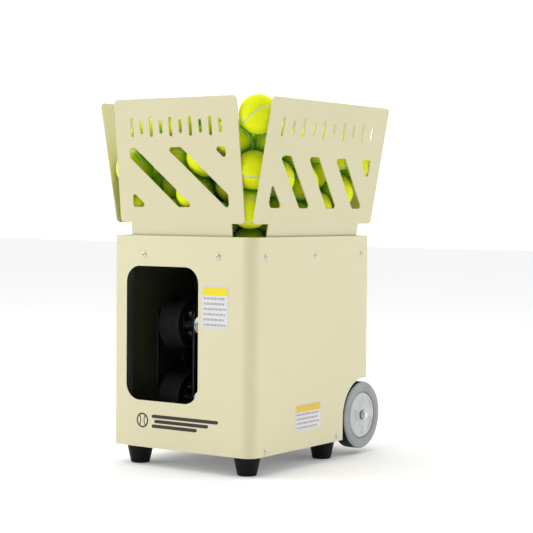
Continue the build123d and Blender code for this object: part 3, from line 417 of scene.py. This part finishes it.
FINISH_OF = {
    "front_right_wrap": cream_wrap, "rear_left_wrap": cream_wrap,
    "rubber_feet": foot_rubber, "right_wheel_tread": tread_rubber, "left_wheel_tread": tread_rubber,
    "handle_grip": grip_rubber, "upper_throwing_tyre": throw_rubber, "lower_throwing_tyre": throw_rubber,
    "upper_throwing_hub": hub_aluminium, "lower_throwing_hub": hub_aluminium,
    "throwing_motors": motor_steel, "feed_motor": motor_steel, "elevation_motor": motor_steel,
    "oscillation_motor": motor_steel, "head_cradle": black_steel, "head_side_plates": black_steel,
    "oscillation_bracket": black_steel, "wheel_wells": black_steel, "notice_plates": notice_film,
    "cabinet_screws": screw_steel, "wheel_axle": screw_steel, "shaft_bearings": screw_steel,
    "head_trunnions": screw_steel, "turntable_spindle": screw_steel, "oscillation_pinion": screw_steel,
    "elevation_pinion": screw_steel, "handle_inner_rods": screw_steel, "foot_screws": zinc,
    "base_tray": zinc, "corner_posts": zinc, "axle_hangers": zinc, "turntable_gear": zinc,
    "elevation_gear": zinc, "handle_outer_tubes": aluminium, "handle_middle_tubes": aluminium,
    "battery": battery_case, "control_board": board_green, "board_components": black_plastic,
    "control_panel": black_plastic, "charging_socket": black_plastic, "handle_brackets": black_plastic,
    "display_window": screen, "power_switch": red_plastic, "handle_button": red_plastic,
    "hopper_deck": pit_black, "plate_sockets": pit_black, "drop_tube": pit_black, "ball_trough": pit_black,
    "feed_rotor": black_plastic, "right_wheel_rim": wheel_rim_grey, "left_wheel_rim": wheel_rim_grey,
}
for name, node in nodes.items():
    if name.endswith("_hopper_plate"):
        FINISH_OF[name] = cream_plate
    if name.startswith("button_"):
        FINISH_OF[name] = key_plastic
    if name != "tennis_balls":
        node.data.materials.clear()
        node.data.materials.append(FINISH_OF[name])


# ---------------------------------------------------------------- tennis balls
def islands(mesh):
    """Lowest vertex number that each vertex is joined to."""
    edges = np.empty(len(mesh.edges) * 2, np.int64)
    mesh.edges.foreach_get("vertices", edges)
    a, b = edges.reshape(-1, 2).T
    label = np.arange(len(mesh.vertices))
    while True:
        low = np.minimum(label[a], label[b])
        before = label.copy()
        np.minimum.at(label, a, low)
        np.minimum.at(label, b, low)
        label = label[label]
        if (label == before).all():
            return label


WHOLE_BALL = 0.97            # an island this much of a ball across is a ball's outer surface


def ball_centres(node):
    mesh = node.data
    places = np.empty(len(mesh.vertices) * 3)
    mesh.vertices.foreach_get("co", places)
    places = places.reshape(-1, 3)
    label = islands(mesh)
    found = []
    for one in np.unique(label):
        part = places[label == one]
        low, high = part.min(0), part.max(0)
        if (high - low).min() > 2 * BALL_R * WHOLE_BALL:
            found.append(tuple((low + high) / 2))
    return sorted(set(tuple(round(c, 5) for c in spot) for spot in found))


GROOVE_DEPTH, SNAP, TINY = 0.45 * MM, 1.45 * MM, 1e-9
ON_SEAM = 0.1 * MM           # vertices this close to the seam's middle go down into the groove
FELT_SINK = 0.05 * MM        # the rest lies this far under the ball's CAD surface
SNAP_ROUNDS = 4
# how far other balls reach and how strongly they set the felt's painted shade
CREVICE_REACH, CREVICE_START, CREVICE_FULL = 3.4 * BALL_R, 0.16, 0.62
MOST_HIDDEN = 0.95


def seam_value(q):
    """The seam's function at points of the unit sphere, and its slope along the sphere."""
    x, y, z = q.T
    field = x * y - SEAM_K * z ** 3
    slope = np.stack([y, x, -3 * SEAM_K * z ** 2], 1)
    slope -= q * (slope * q).sum(1)[:, None]
    return field, slope


def crevice_shade_share(points, normals, centre, centres):
    """How much of its surroundings each point of one ball sees taken up by other balls, from 0 to 1; this
    sets the felt's painted shade.
    """
    open_share = np.ones(len(points))
    for other in centres:
        if 0 < np.linalg.norm(other - centre) < CREVICE_REACH:
            way = other - points
            far = np.linalg.norm(way, axis=1)
            facing = np.maximum(0.0, (way * normals).sum(1) / far)
            open_share *= 1 - np.minimum(MOST_HIDDEN, facing * (BALL_R / far) ** 2)
    return np.clip((1 - open_share - CREVICE_START) / (CREVICE_FULL - CREVICE_START), 0, 1)


def loaded_balls():
    """Every ball as a felt sphere whose seam is a groove that the mesh follows."""
    work = bmesh.new()
    bmesh.ops.create_icosphere(work, subdivisions=5, radius=1.0)
    unit = np.array([v.co[:] for v in work.verts])
    faces = np.array([[v.index for v in f.verts] for f in work.faces])
    work.free()
    unit /= np.linalg.norm(unit, axis=1)[:, None]
    for _ in range(SNAP_ROUNDS):
        field, slope = seam_value(unit)
        size = np.maximum(np.linalg.norm(slope, axis=1), TINY)
        near = np.abs(field) / size < SNAP / BALL_R
        step = (field / size ** 2)[:, None] * slope
        unit = np.where(near[:, None], unit - step, unit)
        unit /= np.linalg.norm(unit, axis=1)[:, None]
    field, slope = seam_value(unit)
    size = np.maximum(np.linalg.norm(slope, axis=1), TINY)
    on_seam = np.abs(field) / size < ON_SEAM / BALL_R
    reach = BALL_R - np.where(on_seam, GROOVE_DEPTH, FELT_SINK)
    draw = random.Random(11)
    verts, local, tone, shaded, polys = [], [], [], [], []
    centres = np.array(ball_centres(nodes["tennis_balls"]))
    for number, centre in enumerate(centres):
        turn = Quaternion([draw.gauss(0, 1) for _ in range(4)]).normalized().to_matrix()
        normals = unit @ np.array(turn).T
        verts.append(normals * reach[:, None] + centre)
        shaded.append(crevice_shade_share(verts[-1], normals, centre, centres))
        local.append(unit)
        tone.append(np.full(len(unit), draw.random() ** 2))
        polys.append(faces + number * len(unit))
    verts, local, tone, shaded, polys = map(np.concatenate, (verts, local, tone, shaded, polys))
    mesh = bpy.data.meshes.new("loaded_balls")
    mesh.vertices.add(len(verts))
    mesh.vertices.foreach_set("co", verts.ravel())
    mesh.loops.add(polys.size)
    mesh.loops.foreach_set("vertex_index", polys.ravel().astype(np.int32))
    mesh.polygons.add(len(polys))
    mesh.polygons.foreach_set("loop_start", np.arange(0, polys.size, 3, dtype=np.int32))
    mesh.update(calc_edges=True)
    mesh.shade_smooth()
    mesh.attributes.new("seam_frame", "FLOAT_VECTOR", "POINT").data.foreach_set("vector", local.ravel())
    mesh.attributes.new("ball_tone", "FLOAT", "POINT").data.foreach_set("value", tone)
    mesh.attributes.new("painted_crevice_shade", "FLOAT", "POINT").data.foreach_set("value", shaded)
    mesh.materials.append(ball_felt())
    made = bpy.data.objects.new("loaded_balls", mesh)
    scene.collection.objects.link(made)
    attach(made, "cabinet")
    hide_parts("tennis_balls")


loaded_balls()


# ---------------------------------------------------------------- transport wheel faces
# Places are shares of the wheel's radius; heights and depths are in mm, from the rim's plane outwards.
BORE, COVER, RIDGE, SEAT = 0.145, 0.665, 0.72, 0.845
GROOVE = COVER + 0.02                       # bottom of the groove between the cover and the ring
COVER_STOP, RING_START = COVER + 0.021, COVER + 0.016
RING_MIDDLE, RING_FLAT, RING_EDGE = 0.86, 0.08, 0.958
HUB_RIDGE, POCKETS, POCKET_MIDDLE, POCKET_HALF = 0.235, 5, 0.455, 0.135
DEEPEST, COVER_DEPTH = 4.0, 6.0
SHARE_BANDS = ((BORE, 0.62, 34), (0.62, 0.78, 40), (0.78, 1.0, 20))     # from, to, steps
TURN_STEPS = 180
FACE_SINK, SKIN = 0.8 * MM, 0.2 * MM        # of the face in the rim's box, and of hidden sides in theirs
SMOOTH_WHEEL = 40                           # degrees


def ridge(share, middle, spread):
    return math.exp(-((share - middle) / spread) ** 2)


def wheel_height(share, turn):
    """Height of the moulded wheel face at a share of the radius and an angle."""
    if share > GROOVE:
        sloping = abs(share - RING_MIDDLE) > RING_FLAT
        high = -0.3 - 0.5 * ((share - RING_MIDDLE) / 0.1) ** 2 * sloping
        high += 1.0 * ridge(share, RIDGE, 0.016)
        high -= 2.6 * ridge(share, GROOVE, 0.014)
        return max(high, -DEEPEST) - 900 * max(0.0, share - RING_EDGE) ** 2
    high = -1.2 + 0.5 * (1 - (share / COVER) ** 2)
    high -= 2.4 * max(0.0, (share - COVER + 0.02) / 0.04) ** 2
    swing = (turn * POCKETS / math.tau) % 1.0 - 0.5
    across = max(0.0, 1 - ((share - POCKET_MIDDLE) / POCKET_HALF) ** 4)
    pocket = max(0.0, 1 - (swing / 0.36) ** 4) * across
    high -= 2.0 * min(1.0, pocket * 2.2) * (0.72 + 0.28 * math.cos(swing * 5))
    high += 0.9 * ridge(share, HUB_RIDGE, 0.035)
    return high


def wheel_face(side, finish_ring, finish_cover):
    """The ring and the cover of one transport wheel, each a closed turned shape with its relief in front."""
    name = f"{side}_wheel_rim"
    low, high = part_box(name)
    tread_low, tread_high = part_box(f"{side}_wheel_tread")
    way = 1 if side == "right" else -1
    outer, inner, tread_face = (high.x, low.x, tread_high.x) if way > 0 else (low.x, high.x, tread_low.x)
    plane = outer - way * FACE_SINK
    centre_y, centre_z = (low.y + high.y) / 2, (low.z + high.z) / 2
    radius = (tread_high.y - tread_low.y) / 2 - SKIN
    lip, deep = ((abs(plane - x) - SKIN) / MM for x in (tread_face, inner))
    shares = [BORE]
    for start, stop, steps in SHARE_BANDS:
        shares += [start + (stop - start) * k / steps for k in range(1, steps + 1)]
    cover = [s for s in shares if s <= COVER_STOP]
    ring = [s for s in shares if s >= RING_START]
    cover_back = ((cover[-1], COVER_DEPTH), (cover[0], COVER_DEPTH))
    ring_back = ((ring[-1], lip), (SEAT, lip), (SEAT, deep), (ring[0], deep))
    turns = [math.tau * k / TURN_STEPS for k in range(TURN_STEPS)]
    for part, finish, face, back in (("cover", finish_cover, cover, cover_back),
                                     ("ring", finish_ring, ring, ring_back)):
        rows = [[(share, wheel_height(share, turn)) for turn in turns] for share in face]
        rows += [[(share, -depth)] * TURN_STEPS for share, depth in back]
        verts = []
        for row in rows:
            for turn, (share, tall) in zip(turns, row):
                verts.append((plane + way * tall * MM, centre_y + share * radius * math.cos(turn),
                              centre_z + share * radius * math.sin(turn)))
        faces = []
        for i in range(len(rows)):
            this, following = i * TURN_STEPS, (i + 1) % len(rows) * TURN_STEPS
            for k in range(TURN_STEPS):
                m = (k + 1) % TURN_STEPS
                faces.append((this + k, this + m, following + m, following + k))
        made = piece(f"{side}_wheel_{part}_moulding", verts, faces,
                     f"{side}_wheel", finish, SMOOTH_WHEEL)
        if part == "ring":
            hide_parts(name)


for side in ("right", "left"):
    wheel_face(side, wheel_rim_grey, wheel_grey)


# ---------------------------------------------------------------- printed graphics
NOTICE_EDGE, NOTICE_LINE, NOTICE_INK = 1.6 * MM, 0.35 * MM, 0.06 * MM
HEADER_INSET, HEADER_RADIUS = 0.6 * MM, 0.4 * MM
HEADER_TALL, HEADER_FLAT, TALL_ROWS = 0.78, 0.70, 4      # the header's lower edge, as a share of the height
TEXT_LEFT, TEXT_RIGHT, TEXT_FOOT = 2.2 * MM, 2.0 * MM, 3.2 * MM
WORD_LEAST, WORD_MOST, WORD_GAP, WORD_RADIUS = 2.6, 8.5, 1.3 * MM, 0.3 * MM
WORD_DROP, WORD_HEIGHT = 0.22, 0.42                      # shares of the row pitch
RAGGED, LAST_RAGGED, SHORTEST_END = 3, 12, 2 * MM


def notice(name, corner, across, out, width, height, header, rows, seed):
    """Header band, frame line and word-like dashes on a notice plate. It says nothing."""
    draw = random.Random(seed)
    up = (0, 0, 1)
    edge, line = NOTICE_EDGE, NOTICE_LINE
    head_low = height * (HEADER_TALL if rows > TALL_ROWS else HEADER_FLAT)
    band = Plates(corner, across, up, out)
    inset = edge + HEADER_INSET
    band.bar(inset, width - inset, head_low, height - inset, NOTICE_INK, HEADER_RADIUS)
    band.save(f"{name}_header", "cabinet", "notice_film", header)
    lines = Plates(corner, across, up, out)
    for left, right, low, high in ((edge, width - edge, edge, edge + line),
                                   (edge, edge + line, edge, height - edge),
                                   (width - edge - line, width - edge, edge, height - edge),
                                   (edge, width - edge, height - edge - line, height - edge)):
        lines.bar(left, right, low, high, NOTICE_INK * 0.8)
    pitch = (head_low - TEXT_FOOT) / rows
    for row in range(rows):
        low = head_low - (row + 1) * pitch + pitch * WORD_DROP
        x = edge + TEXT_LEFT
        ragged = LAST_RAGGED if row == rows - 1 else RAGGED
        stop = width - edge - TEXT_RIGHT - draw.random() * ragged * MM
        while x < stop - SHORTEST_END:
            wide = min(draw.uniform(WORD_LEAST, WORD_MOST) * MM, stop - x)
            lines.bar(x, x + wide, low, low + pitch * WORD_HEIGHT, NOTICE_INK, WORD_RADIUS)
            x += wide + WORD_GAP
    lines.save(f"{name}_lines", "cabinet", "notice_film", notice_ink)


film_low, film_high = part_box("notice_plates")
FRONT_NOTICE = (42.2, 97.1, 247.0, 319.7)      # x and z ranges, mm
SIDE_NOTICE = (-51.8, 28.5, 64.0, 112.0)       # y and z ranges, mm
x0, x1, z0, z1 = (v * MM for v in FRONT_NOTICE)
notice("front_notice", (x0, film_low.y, z0), (1, 0, 0), (0, -1, 0), x1 - x0, z1 - z0, notice_yellow, 6, 3)
y0, y1, z0, z1 = (v * MM for v in SIDE_NOTICE)
notice("side_notice", (film_high.x, y0, z0), (0, 1, 0), (1, 0, 0), y1 - y0, z1 - z0, notice_amber, 4, 5)

EMBLEM_Z, EMBLEM_INK = 80 * MM, 0.08 * MM
BALL_X, BALL_OUTER, BALL_INNER = -87 * MM, 13 * MM, 10.2 * MM
CURVE_AWAY, CURVE_OUTER, CURVE_INNER, CURVE_ANGLE = 18 * MM, 15.2 * MM, 13.2 * MM, 36
STRIPE_TALL, STRIPE_LEAN = 6.0, 0.25
STRIPES = ((-67, 77, 5.6), (-61, 56, -3.0), (-67, 32, -11.6))      # left, right and lower edge, mm
emblem = Plates((0, cabinet_low.y, EMBLEM_Z), (1, 0, 0), (0, 0, 1), (0, -1, 0))
emblem.ring((BALL_X, 0), BALL_OUTER, BALL_INNER, 0, 360, EMBLEM_INK, 64)
for centre, facing in ((BALL_X - CURVE_AWAY, 0), (BALL_X + CURVE_AWAY, 180)):
    first, last = facing - CURVE_ANGLE, facing + CURVE_ANGLE
    emblem.ring((centre, 0), CURVE_OUTER, CURVE_INNER, first, last, EMBLEM_INK, 24)
for left, right, low in STRIPES:
    emblem.bar(left * MM, right * MM, low * MM, (low + STRIPE_TALL) * MM,
               EMBLEM_INK, STRIPE_TALL / 2 * MM, STRIPE_LEAN)
emblem.save("front_emblem", "cabinet", "cream_paint", print_ink)


# ---------------------------------------------------------------- control panel marks
display_low, display_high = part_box("display_window")
digits = Plates(((display_low.x + display_high.x) / 2, display_high.y, (display_low.z + display_high.z) / 2),
                (-1, 0, 0), (0, 0, 1), (0, 1, 0))
SEGMENTS = {"a": (0, 2), "b": (1, 1), "c": (1, 0), "d": (0, 0), "e": (-1, 0), "f": (-1, 1), "g": (0, 1)}
SEGMENT_LONG, SEGMENT_THIN, SEGMENT_GAP, PRINT = 6 * MM, 1.1 * MM, 0.6 * MM, 0.05 * MM


def digit(left, lit):
    """A seven-segment digit; each segment has a side (0 is level) and a level."""
    for key in lit:
        side, level = SEGMENTS[key]
        v = (level - 1) * SEGMENT_LONG
        if side:
            u = left + (SEGMENT_LONG if side > 0 else 0)
            digits.bar(u - SEGMENT_THIN / 2, u + SEGMENT_THIN / 2,
                       v + SEGMENT_GAP, v + SEGMENT_LONG - SEGMENT_GAP, PRINT)
        else:
            digits.bar(left + SEGMENT_GAP, left + SEGMENT_LONG - SEGMENT_GAP,
                       v - SEGMENT_THIN / 2, v + SEGMENT_THIN / 2, PRINT)


digit(-20 * MM, "abged")
digit(-10 * MM, "abcdef")
for step in range(6):         # rising bars, mm
    left, top = 6 + 2.8 * step, -4.4 + 1.8 * step
    digits.bar(left * MM, (left + 2) * MM, -6 * MM, top * MM, PRINT)
digits.save("display_digits", "cabinet", "screen", display_lit)


def key_mark(number):
    """Plus, minus, play or stop on the face of a key."""
    low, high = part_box(f"button_{number}")
    sign = Plates(((low.x + high.x) / 2, high.y, (low.z + high.z) / 2), (-1, 0, 0), (0, 0, 1), (0, 1, 0))
    arm, half = 2.6 * MM, 0.45 * MM
    if number in (1, 2):
        sign.bar(-arm, arm, -half, half, PRINT)
    if number == 1:
        sign.bar(-half, half, half, arm, PRINT)
        sign.bar(-half, half, -arm, -half, PRINT)
    if number == 3:
        sign.outline([(-1.6 * MM, -2.2 * MM), (2.4 * MM, 0), (-1.6 * MM, 2.2 * MM)], PRINT)
    if number == 4:
        sign.bar(-2 * MM, 2 * MM, -2 * MM, 2 * MM, PRINT, 0.4 * MM)
    sign.save(f"key_{number}_mark", f"key_{number}", "key_plastic", print_ink)


for number in range(1, 5):
    key_mark(number)


# ---------------------------------------------------------------- floor, light, world
FLOOR_HALF = 14


def floor():
    """A pale floor that runs past what any view sees."""
    made = Finish("floor", Roughness=0.9, Specular_IOR_Level=0.1, Emission_Color=(1, 1, 1, 1),
                  Emission_Strength=0.10)
    soft = made.between(made.noise(3, 4), 0.3, 0.7)
    made.colour(made.mix(soft, (0.93, 0.93, 0.93), (0.95, 0.95, 0.95)))
    mesh = bpy.data.meshes.new("floor")
    far = FLOOR_HALF
    mesh.from_pydata([(-far, -far, 0), (far, -far, 0), (far, far, 0), (-far, far, 0)], [], [(0, 1, 2, 3)])
    mesh.materials.append(made.material)
    plane = bpy.data.objects.new("floor", mesh)
    scene.collection.objects.link(plane)
    plane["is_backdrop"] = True


WORLD_SPREAD = (-0.6, 0.3, 0.385, 1.20)     # from and to along the view, and the strengths there


def world():
    """An even white studio, a little darker on the side that faces the machine's front right corner."""
    made = bpy.data.worlds.new("studio")
    made.use_nodes = True
    tree = made.node_tree
    split = tree.nodes.new("ShaderNodeSeparateXYZ")
    tree.links.new(tree.nodes.new("ShaderNodeTexCoord").outputs["Generated"], split.inputs[0])
    shares = []
    for axis, share in ((0, -math.sin(CAMERA_TURN)), (1, math.cos(CAMERA_TURN))):
        part = tree.nodes.new("ShaderNodeMath")
        part.operation = "MULTIPLY"
        part.inputs[1].default_value = share
        tree.links.new(split.outputs[axis], part.inputs[0])
        shares.append(part.outputs[0])
    total = tree.nodes.new("ShaderNodeMath")
    tree.links.new(shares[0], total.inputs[0])
    tree.links.new(shares[1], total.inputs[1])
    spread = tree.nodes.new("ShaderNodeMapRange")
    tree.links.new(total.outputs[0], spread.inputs[0])
    for socket, value in zip(spread.inputs[1:5], WORLD_SPREAD):
        socket.default_value = value
    background = tree.nodes["Background"]
    background.inputs["Color"].default_value = (1, 1, 1, 1)
    tree.links.new(spread.outputs[0], background.inputs["Strength"])
    scene.world = made


floor()
world()
softbox("left_box", (-2.6, -1.9, 1.7), (0, 0, 0.30), 2.2, 37)
softbox("right_box", (2.9, 1.7, 1.6), (0, 0, 0.30), 2.2, 13)
softbox("top_box", (0.1, -0.4, 3.2), (0, 0, 0.4), 1.8, 22)
camera()
scene.view_settings.view_transform = "Standard"
scene.view_settings.look = "None"

low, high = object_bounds()
